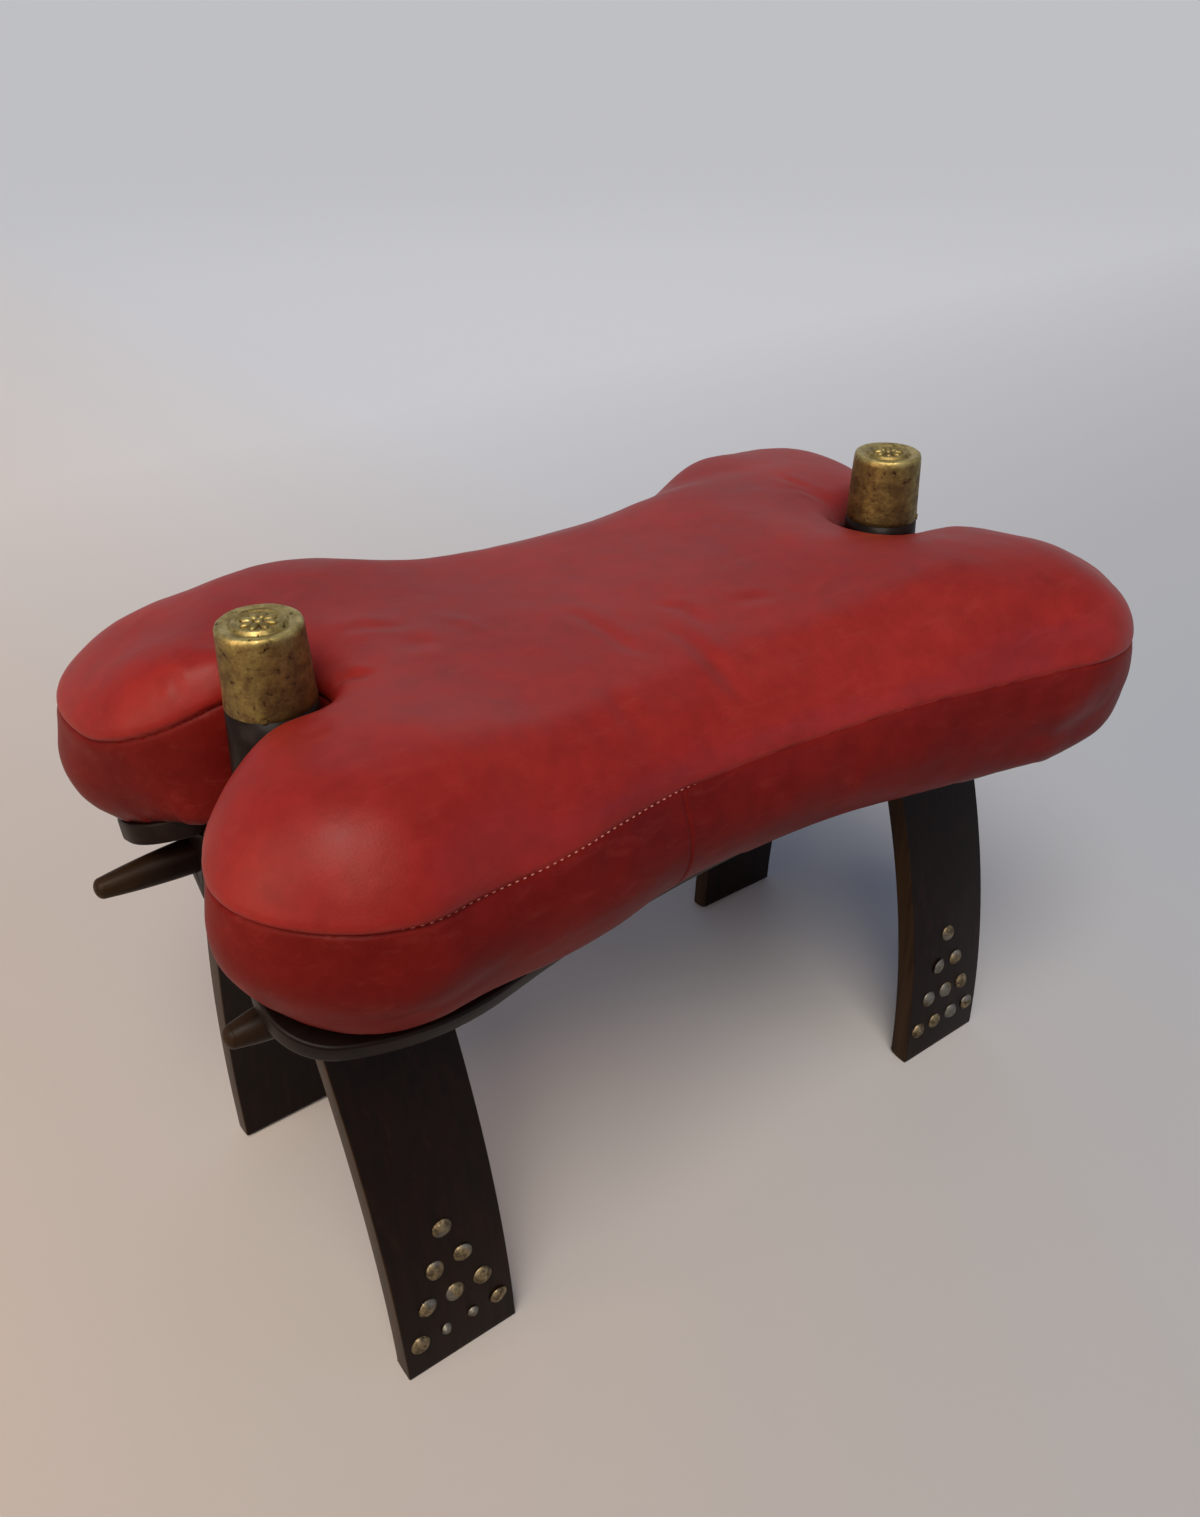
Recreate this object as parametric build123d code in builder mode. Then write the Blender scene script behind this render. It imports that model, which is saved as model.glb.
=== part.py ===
"""Camel saddle stool: two arched leg frames, two tilted side boards, capped posts and a loose cushion.

All sizes are millimetres. Z is up, X runs along the stool, and the origin is on the floor under
the middle. One back right quarter of the frame is drawn, and the other three are its mirror images.
"""

import math
import os

from build123d import *

# Leg frames: two curved planks at each end meet on a post block
leg_width = 76.0
leg_thickness = 15.0
leg_face_radius = 676.0
leg_arc_drop = 9.5
foot_half_spread = 125.0
foot_middle_x = 216.7
foot_round = 12.0
frame_lean = 1.1
block_top = 312.0
block_bottom = 250.0
overrun = 6.0

# Side boards, measured down their slope from the inner edge
board_thickness = 13.0
board_tilt = 20.0
board_inner_y = 52.0
board_inner_z = 303.0
board_half_length = 291.0
board_end_width = 93.0
board_waist_width = 74.0
board_lobe_radius = 165.0
board_lobe_x = 208.0
board_corner_radius = 38.0

# Shoulder blocks fill the wedge between a leg and its board
shoulder_foot_z = 242.0
shoulder_reach = 110.0
shoulder_lip = 4.0

# Pegs stand out of the ends of the shoulder blocks
peg_y = 79.0
peg_z = 273.5
peg_length = 58.0
short_peg_length = 47.0
peg_root_radius = 11.2
peg_neck_radius = 9.6
peg_tip_radius = 6.4
peg_tip_round = 4.5
peg_neck = 25.0
peg_tenon_radius = 7.0
peg_tenon_length = 24.0

# Posts and their brass caps
post_x = 226.0
post_base_radius = 27.4
post_mid_radius = 25.6
post_mid_height = 54.0
left_post_height = 86.0
right_post_height = 78.0
post_tenon_radius = 12.0
post_tenon_length = 34.0
cap_height = 50.0
cap_foot_radius = 23.8
cap_head_radius = 22.3
cap_wall = 1.2
cap_top_thickness = 2.8
cap_rim_round = 4.6
cap_groove_radius = 15.4
cap_groove_width = 2.4
cap_groove_depth = 1.4

# Fasteners
nail_angle = -57.0
nail_lift = 6.0
nail_shank_radius = 0.9
nail_shank_length = 14.0
nail_head_radius = 2.0
nail_head_height = 0.8
lag_radius = 4.0
lag_reach = 30.0
lag_head_radius = 7.0
lag_head_height = 5.0
washer_radius = 12.0
washer_thickness = 1.6
screw_radius = 2.2
screw_head_radius = 4.2
screw_head_height = 2.5
screw_sink = 3.8
screw_bite = 16.0
screw_spacing = 44.0
board_screw_slope = 48.0
countersink_angle = 90.0
block_screw_z = 285.0
shoulder_screw_z = 258.0
tack_head_radius = 6.4
tack_head_height = 3.2
tack_pin_radius = 1.0
tack_pin_length = 9.0
tack_first_row = 27.0
tack_row_rise = 25.3
tack_spacing = 18.4
tack_base_count = 4

# Cushion: a leather cover round one block of foam, open round the posts
cushion_clearance = 0.3
cover_thickness = 1.6
right_back_lobe = (248.0, 120.0)
left_back_lobe = (-230.0, 114.0)
left_front_lobe = (-223.0, -86.0)
right_front_lobe = (250.0, -103.0)
lobe_radius = 75.0
cushion_middle_x = 12.0
cushion_waist = 143.0
notch_clearance = 1.2
notch_throat = 8.0
notch_flare = 16.0
cushion_pitch = 2.0
seam_rise = 52.0
band_reach = 14.0
band_bulge = 4.0
band_draw = 14.0
crown_rise = 52.0
crown_shoulder = 56.0
saddle_dip = 9.0
saddle_dip_half_length = 160.0

# Shares of the crown's shoulder width at which its rings lie, from the seam to the top
crown_ring_shares = (0.0, 0.05, 0.17, 0.37, 0.65, 1.0)
# Shares of the band's depth at which its rings lie, and of its bulge and draw there
band_depth_shares = (0.0, 0.28, 0.6, 0.84, 1.0)
band_bulge_shares = (0.0, 0.85, 1.0, 0.3, 0.0)
band_draw_shares = (0.0, 0.0, 0.06, 0.38, 1.0)

os.makedirs("parts", exist_ok=True)

# How a round shape stands on its place: with its low end there, or its high end
low_end = (Align.CENTER, Align.CENTER, Align.MIN)
high_end = (Align.CENTER, Align.CENTER, Align.MAX)


def save(piece, name):
    """Names a finished piece and writes its file."""
    piece.label = name
    export_step(piece, f"parts/{name}.step")


# The leaning plane of the right hand frame: its own X is across the stool, its own Y is up the leg
lean = math.radians(frame_lean)
frame_plane = Plane(
    origin=(foot_middle_x, 0, 0), x_dir=(0, 1, 0), z_dir=(math.cos(lean), 0, -math.sin(lean))
)
end_plane = frame_plane.offset(leg_width / 2)
floor_plane = Plane.XY
block_top_plane = Plane.XY.offset(block_top)
block_bottom_plane = Plane.XY.offset(block_bottom)

leg_arc_y = foot_half_spread - math.sqrt(leg_face_radius**2 - leg_arc_drop**2)
leg_back_radius = leg_face_radius - leg_thickness


def face_y(height):
    """Where the leg's outer face lies at a height."""
    return leg_arc_y + math.sqrt(leg_face_radius**2 - (height + leg_arc_drop) ** 2)


def back_y(height):
    """Where the leg's inner face lies at a height."""
    return leg_arc_y + math.sqrt(leg_back_radius**2 - (height + leg_arc_drop) ** 2)


def frame_x(height):
    """The middle of the leaning frame at a height."""
    return foot_middle_x + height * math.tan(lean)


def curve(side, low, high):
    """An arc of a leg's face between two heights."""
    middle = (low + high) / 2
    return ThreePointArc((side(low), low), (side(middle), middle), (side(high), high))


# The back board's underside plane: its own X is along the stool, its own Y is down the slope
tilt = math.radians(board_tilt)
board_plane = Plane(
    origin=(0, board_inner_y, board_inner_z), x_dir=(1, 0, 0), z_dir=(0, math.sin(tilt), math.cos(tilt))
)
board_top_plane = board_plane.offset(board_thickness)


def board_under_z(y):
    """Height of the board's underside at a distance from the middle."""
    return board_inner_z - (y - board_inner_y) * math.tan(tilt)


frame_screw_x = [frame_x(block_screw_z) + side * screw_spacing / 2 for side in (-1, 1)]
shoulder_screw_x = [frame_x(shoulder_screw_z) + side * screw_spacing / 2 for side in (-1, 1)]
block_screw_seat = face_y(block_screw_z + screw_head_radius) - screw_sink
shoulder_screw_seat = back_y(shoulder_screw_z - screw_head_radius) + screw_sink


def cross_planes(places, y, height, outward):
    """Planes across the stool at a screw's seat, facing the way its head looks."""
    return [Plane(origin=(x, y, height), x_dir=(1, 0, 0), z_dir=(0, outward, 0)) for x in places]


block_screw_planes = cross_planes(frame_screw_x, block_screw_seat, block_screw_z, 1)
shoulder_screw_planes = cross_planes(shoulder_screw_x, shoulder_screw_seat, shoulder_screw_z, -1)
block_screw_length = block_screw_seat - back_y(block_screw_z) + screw_bite
shoulder_screw_length = face_y(shoulder_screw_z) - shoulder_screw_seat + screw_bite

board_screw_length = board_thickness + screw_bite
countersink_depth = (screw_head_radius - screw_radius) / math.tan(math.radians(countersink_angle / 2))
board_screw_seats = [
    board_top_plane.from_local_coords((side * x, board_screw_slope, 0))
    for side in (-1, 1)
    for x in frame_screw_x
]
board_screw_planes = [Plane(seat, board_plane.x_dir, board_plane.z_dir) for seat in board_screw_seats]

tack_places = [
    (column * tack_spacing - (count - 1) * tack_spacing / 2, tack_first_row + row * tack_row_rise)
    for row, count in enumerate(range(tack_base_count, 0, -1))
    for column in range(count)
]


def tack_plane(across, height):
    """The plane on a leg's outer face where one tack sits."""
    y_share = (face_y(height) - leg_arc_y) / leg_face_radius
    z_share = (height + leg_arc_drop) / leg_face_radius
    origin = frame_plane.from_local_coords((face_y(height), height, across))
    normal = frame_plane.x_dir * y_share + frame_plane.y_dir * z_share
    return Plane(origin=origin, x_dir=frame_plane.z_dir, z_dir=normal)


tack_planes = [tack_plane(across, height) for across, height in tack_places]


def locations(planes):
    """The places of a list of planes."""
    return [plane.location for plane in planes]


# Leg plank
with BuildPart() as leg:
    with BuildSketch(frame_plane):
        with BuildLine():
            outer = curve(face_y, -overrun, block_top + overrun)
            inner = curve(back_y, -overrun, block_top + overrun)
            Line(outer @ 0, inner @ 0)
            Line(outer @ 1, inner @ 1)
        make_face()
    extrude(amount=leg_width / 2, both=True)
    split(bisect_by=floor_plane, keep=Keep.TOP)
    split(bisect_by=block_top_plane, keep=Keep.BOTTOM)
    fillet(leg.edges().group_by(Axis.Z)[0].sort_by(Axis.Y)[0], radius=foot_round)
    with Locations(*locations(tack_planes)):
        Cylinder(tack_pin_radius, 2 * tack_pin_length, mode=Mode.SUBTRACT)
    with Locations(*locations(block_screw_planes + shoulder_screw_planes)):
        Cylinder(screw_radius, 2 * leg_width, mode=Mode.SUBTRACT)
        Cylinder(screw_head_radius, leg_thickness, align=low_end, mode=Mode.SUBTRACT)

# Post block, which fills the arch between the two legs
with BuildPart() as post_block:
    with BuildSketch(frame_plane):
        with BuildLine():
            back_side = curve(back_y, block_bottom - overrun, block_top + overrun)
            mirror(about=Plane.YZ)
            Line((back_side @ 0), (-(back_side @ 0).X, (back_side @ 0).Y))
            Line((back_side @ 1), (-(back_side @ 1).X, (back_side @ 1).Y))
        make_face()
    extrude(amount=leg_width / 2, both=True)
    split(bisect_by=block_top_plane, keep=Keep.BOTTOM)
    split(bisect_by=block_bottom_plane, keep=Keep.TOP)
    with Locations((post_x, 0, block_top)):
        Cylinder(post_tenon_radius, 2 * post_tenon_length, mode=Mode.SUBTRACT)
        Cylinder(lag_radius, 2 * (block_top - block_bottom) + overrun, mode=Mode.SUBTRACT)
    for across in (1, -1):
        for plane in block_screw_planes:
            with Locations((plane.origin.X, across * back_y(block_screw_z), block_screw_z)):
                Cylinder(screw_radius, 2 * screw_bite, rotation=(90, 0, 0), mode=Mode.SUBTRACT)

# Shoulder block, the wedge that carries a board's end and its peg
peg_root_x = frame_x(peg_z) + leg_width / 2
with BuildPart() as shoulder_block:
    with BuildSketch(frame_plane):
        with BuildLine():
            against_leg = curve(face_y, shoulder_foot_z, board_inner_z + overrun)
            Polyline(
                against_leg @ 1,
                (shoulder_reach, board_inner_z + overrun),
                (shoulder_reach, board_under_z(shoulder_reach) - shoulder_lip),
                against_leg @ 0,
            )
        make_face()
    extrude(amount=leg_width / 2, both=True)
    split(bisect_by=board_plane, keep=Keep.BOTTOM)
    with Locations((peg_root_x, peg_y, peg_z)):
        Cylinder(peg_tenon_radius, 2 * peg_tenon_length, rotation=(0, 90, 0), mode=Mode.SUBTRACT)
    with Locations(*locations(shoulder_screw_planes)):
        Cylinder(screw_radius, 2 * shoulder_screw_length, mode=Mode.SUBTRACT)
    with Locations(*locations(board_screw_planes)):
        Cylinder(screw_radius, 2 * board_screw_length, mode=Mode.SUBTRACT)



def turned_peg(length):
    """A peg, turned to a taper, with a round tenon in the shoulder block."""
    with BuildPart() as peg:
        with BuildSketch(Plane(origin=(peg_root_x, peg_y, peg_z))):
            with BuildLine():
                flat = Line((-overrun, 0), (-overrun, peg_root_radius))
                tip = (length - peg_tip_round, peg_tip_radius)
                Spline(flat @ 1, (peg_neck, peg_neck_radius), tip)
                end = EllipticalCenterArc(
                    (length - peg_tip_round, 0), peg_tip_round, peg_tip_radius, start_angle=0, arc_size=90
                )
                Line(end @ 0, flat @ 0)
            make_face()
        revolve(axis=Axis(origin=(peg_root_x, peg_y, peg_z), direction=(1, 0, 0)))
        split(bisect_by=end_plane, keep=Keep.TOP)
        with Locations((peg_root_x, peg_y, peg_z)):
            Cylinder(peg_tenon_radius, 2 * peg_tenon_length, rotation=(0, 90, 0))
    return peg.part


# Side board: a waisted plank with two rounded ends
corner_x = board_half_length - board_corner_radius
end_y = board_end_width - board_lobe_radius
corner_reach = board_lobe_radius - board_corner_radius
corner_angle = math.acos((corner_x - board_lobe_x) / corner_reach)
corner_y = end_y + corner_reach * math.sin(corner_angle)
waist_depth = board_end_width - board_waist_width
waist_radius = (board_lobe_x**2 + waist_depth**2) / (2 * waist_depth) - board_lobe_radius
waist_y = board_waist_width + waist_radius
waist_angle = math.atan2(end_y - waist_y, board_lobe_x)


def arc_between(centre, radius, start, end):
    """The shorter arc round a centre from one direction to another, both in radians."""
    turn = math.remainder(end - start, 2 * math.pi)
    return CenterArc(centre, radius, math.degrees(start), math.degrees(turn))


with BuildPart() as board:
    with BuildSketch(board_plane):
        with BuildLine():
            Line((0, 0), (0, board_waist_width))
            arc_between((0, waist_y), waist_radius, -math.pi / 2, waist_angle)
            arc_between((board_lobe_x, end_y), board_lobe_radius, waist_angle + math.pi, corner_angle)
            arc_between((corner_x, corner_y), board_corner_radius, corner_angle, 0)
            Line((board_half_length, corner_y), (board_half_length, board_corner_radius))
            arc_between((corner_x, board_corner_radius), board_corner_radius, 0, -math.pi / 2)
            Line((corner_x, 0), (0, 0))
        make_face()
        mirror(about=Plane.YZ)
    extrude(amount=board_thickness)
    with Locations(*locations(board_screw_planes)):
        CounterSinkHole(screw_radius, screw_head_radius, counter_sink_angle=countersink_angle)

# Posts and caps share an axis, and a cap's wall follows one taper
post_plane = Plane(origin=(post_x, 0, block_top), x_dir=(1, 0, 0), z_dir=(0, -1, 0))
post_axis = Axis(origin=(post_x, 0, 0), direction=(0, 0, 1))
neck_foot_radius = cap_foot_radius - cap_wall
neck_head_radius = cap_head_radius - cap_wall
cap_shoulder = cap_height - cap_rim_round
nail_direction = Vector(1, 0, 0).rotate(Axis.Z, nail_angle)


def cap_radius(lift):
    """The cap's outer radius at a height above its foot."""
    return cap_foot_radius - (cap_foot_radius - cap_head_radius) * lift / cap_shoulder


def nail_plane(height):
    """Where the nail enters a cap whose foot is at a height above the block."""
    seat = Vector(post_x, 0, block_top + height + nail_lift)
    return Plane(origin=seat + nail_direction * cap_radius(nail_lift - nail_head_radius), z_dir=nail_direction)


def flared_post(height):
    """A flared round of wood with a tenon below and a neck inside its cap."""
    with BuildPart() as post:
        with BuildSketch(post_plane):
            with BuildLine():
                foot = Polyline(
                    (0, -post_tenon_length),
                    (post_tenon_radius, -post_tenon_length),
                    (post_tenon_radius, 0),
                    (post_base_radius, 0),
                )
                flare = Spline(foot @ 1, (post_mid_radius, post_mid_height), (cap_foot_radius, height))
                Polyline(
                    flare @ 1,
                    (neck_foot_radius, height),
                    (neck_head_radius, height + cap_shoulder),
                    (0, height + cap_shoulder),
                    foot @ 0,
                )
            make_face()
        revolve(axis=post_axis)
        with Locations((post_x, 0, block_top)):
            Cylinder(lag_radius, 2 * lag_reach, mode=Mode.SUBTRACT)
        with Locations((post_x, 0, block_top - post_tenon_length)):
            Cylinder(lag_radius, 2 * post_tenon_length, mode=Mode.SUBTRACT)
        with Locations(nail_plane(height).location):
            Cylinder(nail_shank_radius, 2 * nail_shank_length, mode=Mode.SUBTRACT)
    return post.part


def pressed_cap(height):
    """A pressed brass cup with a rolled rim and a ring groove in its top."""
    cap_plane = Plane((post_x, 0, block_top + height), post_plane.x_dir, post_plane.z_dir)
    with BuildPart() as cap:
        with BuildSketch(cap_plane):
            with BuildLine():
                groove_floor = cap_height - cap_groove_depth
                groove_outer = cap_groove_radius + cap_groove_width / 2
                groove_inner = cap_groove_radius - cap_groove_width / 2
                inner_top = cap_height - cap_top_thickness
                wall = Line((cap_foot_radius, 0), (cap_head_radius, cap_shoulder))
                arc_between((cap_head_radius - cap_rim_round, cap_shoulder), cap_rim_round, 0, math.pi / 2)
                Polyline(
                    (cap_head_radius - cap_rim_round, cap_height),
                    (groove_outer, cap_height),
                    (groove_outer, groove_floor),
                    (groove_inner, groove_floor),
                    (groove_inner, cap_height),
                    (0, cap_height),
                    (0, inner_top),
                    (cap_head_radius - cap_rim_round, inner_top),
                    (neck_head_radius, cap_shoulder),
                    (neck_foot_radius, 0),
                    wall @ 0,
                )
            make_face()
        revolve(axis=post_axis)
        with Locations(nail_plane(height).location):
            Cylinder(nail_shank_radius, 2 * nail_shank_length, mode=Mode.SUBTRACT)
    return cap.part


def driven_nail(height):
    """The small nail that holds a cap."""
    with BuildPart() as cap_nail:
        with Locations(nail_plane(height).location):
            Cylinder(nail_head_radius, nail_head_height, align=low_end)
            Cylinder(nail_shank_radius, nail_shank_length, align=high_end)
    return cap_nail.part


# Fasteners
with BuildPart() as washer:
    with Locations((post_x, 0, block_bottom)):
        Cylinder(washer_radius, washer_thickness, align=high_end)
        Cylinder(lag_radius, 2 * washer_thickness, mode=Mode.SUBTRACT)

with BuildPart() as lag_screw:
    with BuildSketch(Plane(origin=(post_x, 0, block_bottom - washer_thickness))):
        RegularPolygon(lag_head_radius, 6)
    extrude(amount=-lag_head_height)
    with Locations((post_x, 0, block_bottom - washer_thickness)):
        Cylinder(lag_radius, block_top + lag_reach - block_bottom + washer_thickness, align=low_end)

with BuildPart() as board_screws:
    with Locations(*locations(board_screw_planes)):
        Cone(screw_radius, screw_head_radius, countersink_depth, align=high_end)
        Cylinder(screw_radius, board_screw_length, align=high_end)

with BuildPart() as block_screws:
    with Locations(*locations(block_screw_planes)):
        Cylinder(screw_head_radius, screw_head_height, align=low_end)
        Cylinder(screw_radius, block_screw_length, align=high_end)

with BuildPart() as shoulder_screws:
    with Locations(*locations(shoulder_screw_planes)):
        Cylinder(screw_head_radius, screw_head_height, align=low_end)
        Cylinder(screw_radius, shoulder_screw_length, align=high_end)

tack_dome_radius = (tack_head_radius**2 + tack_head_height**2) / (2 * tack_head_height)
with BuildPart() as tack:
    with Locations((0, 0, tack_head_height - tack_dome_radius)):
        Sphere(tack_dome_radius)
    split(bisect_by=Plane.XY, keep=Keep.TOP)
    Cylinder(tack_pin_radius, tack_pin_length, align=high_end)

with BuildPart() as tacks:
    with Locations(*locations(tack_planes)):
        add(tack.part)

# Cushion outline: four round lobes, a waist on each side and a notch round each post
lobe_places = {
    (1, 1): Vector(*right_back_lobe),
    (-1, 1): Vector(*left_back_lobe),
    (-1, -1): Vector(*left_front_lobe),
    (1, -1): Vector(*right_front_lobe),
}
notch_radius = post_base_radius + notch_clearance
throat_x = post_x + notch_throat
seam_height = board_inner_z + seam_rise
band_depth = seam_rise + band_reach
pitch = math.radians(cushion_pitch)


def heading(start, end):
    """Direction from one point to another in radians."""
    return math.atan2(end.Y - start.Y, end.X - start.X)


def waist_arc(side_y, inset):
    """The hollow side between two lobes, returned with the middle of its circle."""
    left, right = lobe_places[-1, side_y], lobe_places[1, side_y]
    middle, half = (left + right) / 2, (right - left).length / 2
    outward = (right - left).normalized().rotate(Axis.Z, 90 * side_y)
    gap = cushion_waist - middle.dot(outward)
    radius = (gap**2 - lobe_radius**2 + half**2) / (2 * (lobe_radius - gap))
    centre = middle + outward * (radius + gap)
    arc_between(centre, radius + inset, heading(centre, left), heading(centre, right))
    return centre


def lobe_side(side_x, side_y, waist_centre, inset, notch_inset):
    """From the waist round a lobe, through the notch's mouth and half round the post."""
    centre = lobe_places[side_x, side_y]
    notch_y = side_y * (notch_radius + notch_inset)
    arc_between(centre, lobe_radius - inset, heading(centre, waist_centre), heading(Vector(), Vector(side_x)))
    # The quarter of the mouth's ellipse that faces the end of the stool and its middle
    EllipticalCenterArc(
        (side_x * throat_x, centre.Y),
        side_x * centre.X + lobe_radius - inset - throat_x,
        side_y * (centre.Y - notch_y),
        start_angle=135 + 90 * side_y + 45 * side_x * side_y,
        arc_size=90,
    )
    Line((side_x * throat_x, notch_y), (side_x * post_x, notch_y))
    arc_between(
        (side_x * post_x, 0), notch_radius + notch_inset, side_y * math.pi / 2, heading(Vector(side_x), Vector())
    )


def cushion_ring(lift, inset, notch_inset):
    """One closed outline of the cushion, drawn in by its insets at a height above the seam."""
    plane = Plane(
        origin=(0, 0, seam_height + lift),
        x_dir=(math.cos(pitch), 0, -math.sin(pitch)),
        z_dir=(math.sin(pitch), 0, math.cos(pitch)),
    )
    with BuildSketch(plane) as ring:
        with BuildLine():
            for side_y in (1, -1):
                waist_centre = waist_arc(side_y, inset)
                for side_x in (1, -1):
                    lobe_side(side_x, side_y, waist_centre, inset, notch_inset)
        make_face()
    return ring.sketch


def band_body(inset):
    """The sides of the cushion below its seam, bulged in the middle and drawn in below."""
    shares = zip(band_depth_shares, band_bulge_shares, band_draw_shares)
    with BuildPart() as body:
        loft(
            [
                cushion_ring(-band_depth * depth, inset - band_bulge * bulge + band_draw * draw, inset)
                for depth, bulge, draw in shares
            ]
        )
    return body.part


def crown_body(inset):
    """The domed top above the seam, dipped along its middle like a saddle."""
    dip_radius = (saddle_dip_half_length**2 + saddle_dip**2) / (2 * saddle_dip)
    top = crown_rise - inset
    with BuildPart() as body:
        loft(
            [
                cushion_ring(
                    max(0, crown_rise * math.sqrt(1 - (1 - share) ** 2) - inset),
                    inset + crown_shoulder * share,
                    inset + notch_flare * share,
                )
                for share in crown_ring_shares
            ]
        )
        with Locations((cushion_middle_x, 0, seam_height + top - saddle_dip + dip_radius)):
            Cylinder(dip_radius, 2 * dip_radius, rotation=(90, 0, 0), mode=Mode.SUBTRACT)
    return body.part


def under_body(gap):
    """Everything below a surface that lies a gap above the boards' top faces."""
    rise = (board_thickness + gap) / math.cos(tilt)
    inner_y = board_inner_y + board_thickness * math.sin(tilt)
    outer_y = right_back_lobe[1] + 2 * lobe_radius
    with BuildPart() as body:
        with BuildSketch(Plane.YZ):
            with BuildLine():
                edge = Polyline(
                    (inner_y, board_under_z(inner_y) + rise),
                    (outer_y, board_under_z(outer_y) + rise),
                    (outer_y, 0),
                    (0, 0),
                )
                Line(edge @ 0, (0, board_under_z(inner_y) + rise))
                Line((0, board_under_z(inner_y) + rise), (0, 0))
            make_face()
            mirror(about=Plane.YZ)
        extrude(amount=right_back_lobe[0] + 2 * lobe_radius, both=True)
    return body.part


outer_band, inner_band = band_body(0), band_body(cover_thickness)
outer_crown, inner_crown = crown_body(0), crown_body(cover_thickness)
seat = under_body(cushion_clearance)
inner_seat = under_body(cushion_clearance + cover_thickness)

with BuildPart() as cushion_top_panel:
    add(outer_crown)
    add(inner_crown, mode=Mode.SUBTRACT)

with BuildPart() as cushion_side_band:
    add(outer_band)
    add(inner_band, mode=Mode.SUBTRACT)
    add(seat, mode=Mode.SUBTRACT)

with BuildPart() as cushion_bottom_panel:
    add(inner_band)
    add(seat, mode=Mode.SUBTRACT)
    add(inner_seat, mode=Mode.INTERSECT)

with BuildPart() as cushion_foam:
    add(inner_band)
    add(inner_seat, mode=Mode.SUBTRACT)
    add(inner_crown)


def corner_copy(piece, end, side):
    """A back right piece, mirrored to another corner of the frame."""
    copy = piece if end == "right" else mirror(piece, about=Plane.YZ)
    return copy if side == "back" else mirror(copy, about=Plane.XZ)


post_heights = {"left": left_post_height, "right": right_post_height}
for end, height in post_heights.items():
    for side in ("front", "back"):
        stands_deeper = (end, side) == ("left", "front")
        for name, piece in (
            ("leg", leg.part),
            ("shoulder_block", shoulder_block.part),
            ("peg", turned_peg(short_peg_length if stands_deeper else peg_length)),
            ("tacks", tacks.part),
            ("block_screws", block_screws.part),
            ("shoulder_screws", shoulder_screws.part),
        ):
            save(corner_copy(piece, end, side), f"{end}_{side}_{name}")
    for name, piece in (
        ("post_block", post_block.part),
        ("post", flared_post(height)),
        ("cap", pressed_cap(height)),
        ("cap_nail", driven_nail(height)),
        ("lag_screw", lag_screw.part),
        ("washer", washer.part),
    ):
        save(corner_copy(piece, end, "back"), f"{end}_{name}")
for side in ("front", "back"):
    save(corner_copy(board.part, "right", side), f"{side}_board")
    save(corner_copy(board_screws.part, "right", side), f"{side}_board_screws")
save(cushion_foam.part, "cushion_foam")
save(cushion_top_panel.part, "cushion_top_panel")
save(cushion_side_band.part, "cushion_side_band")
save(cushion_bottom_panel.part, "cushion_bottom_panel")
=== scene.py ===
# %% [markdown]
# # A camel saddle stool
#
# The real stool is a wooden frame with a loose leather cushion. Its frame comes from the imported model, piece
# by piece and at its real size, and this lesson dresses it: the wood gets its soft edges and its stain, the
# post caps their rounded rims and dents, and the cushion its fullness, its seam and its creases.

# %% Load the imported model
import math
from contextlib import contextmanager

import bmesh
import bpy
import numpy as np
from mathutils import Euler, Matrix, Vector, noise


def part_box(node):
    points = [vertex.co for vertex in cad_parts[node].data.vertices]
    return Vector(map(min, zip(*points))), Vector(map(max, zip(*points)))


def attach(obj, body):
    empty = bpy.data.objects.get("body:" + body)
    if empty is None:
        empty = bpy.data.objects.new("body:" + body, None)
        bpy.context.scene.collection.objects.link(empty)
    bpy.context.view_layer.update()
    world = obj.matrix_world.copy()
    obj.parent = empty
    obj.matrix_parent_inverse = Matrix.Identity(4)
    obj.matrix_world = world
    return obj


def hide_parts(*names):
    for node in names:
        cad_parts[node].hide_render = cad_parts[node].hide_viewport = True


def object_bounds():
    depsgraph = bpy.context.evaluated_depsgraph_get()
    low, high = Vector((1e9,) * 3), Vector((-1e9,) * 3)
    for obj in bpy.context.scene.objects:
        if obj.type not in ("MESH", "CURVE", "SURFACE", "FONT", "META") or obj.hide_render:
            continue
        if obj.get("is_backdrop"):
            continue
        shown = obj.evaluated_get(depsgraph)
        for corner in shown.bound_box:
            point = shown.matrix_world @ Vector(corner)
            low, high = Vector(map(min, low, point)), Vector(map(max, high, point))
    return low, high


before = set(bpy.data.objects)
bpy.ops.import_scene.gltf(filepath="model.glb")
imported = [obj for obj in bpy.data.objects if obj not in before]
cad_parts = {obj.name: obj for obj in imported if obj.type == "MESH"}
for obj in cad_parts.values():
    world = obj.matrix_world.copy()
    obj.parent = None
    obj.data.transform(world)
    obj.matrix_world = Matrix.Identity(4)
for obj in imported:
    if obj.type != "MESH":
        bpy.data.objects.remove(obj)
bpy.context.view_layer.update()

mm = 0.001
ends = {"left": -1, "right": 1}
sides = {"front": -1, "back": 1}
corners = [(end, side) for end in ends for side in sides]

# %% [markdown]
# ## Camera
#
# The picture was taken from the stool's near left corner, from about standing height. A camera in Blender is
# placed by a matrix whose columns are its right, up and backward directions, so three angles and one place
# say everything. The lens follows from the focal length in pixels of the picture's long side.

# %% Camera
picture_long_side = 1517
focal_pixels = 1298.5
film_width = 36.0
camera_yaw = math.radians(36.463)
camera_pitch = math.radians(31.965)
camera_roll = math.radians(-0.470)
camera_place = Vector((-0.43567, -0.56649, 0.72745))


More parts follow.
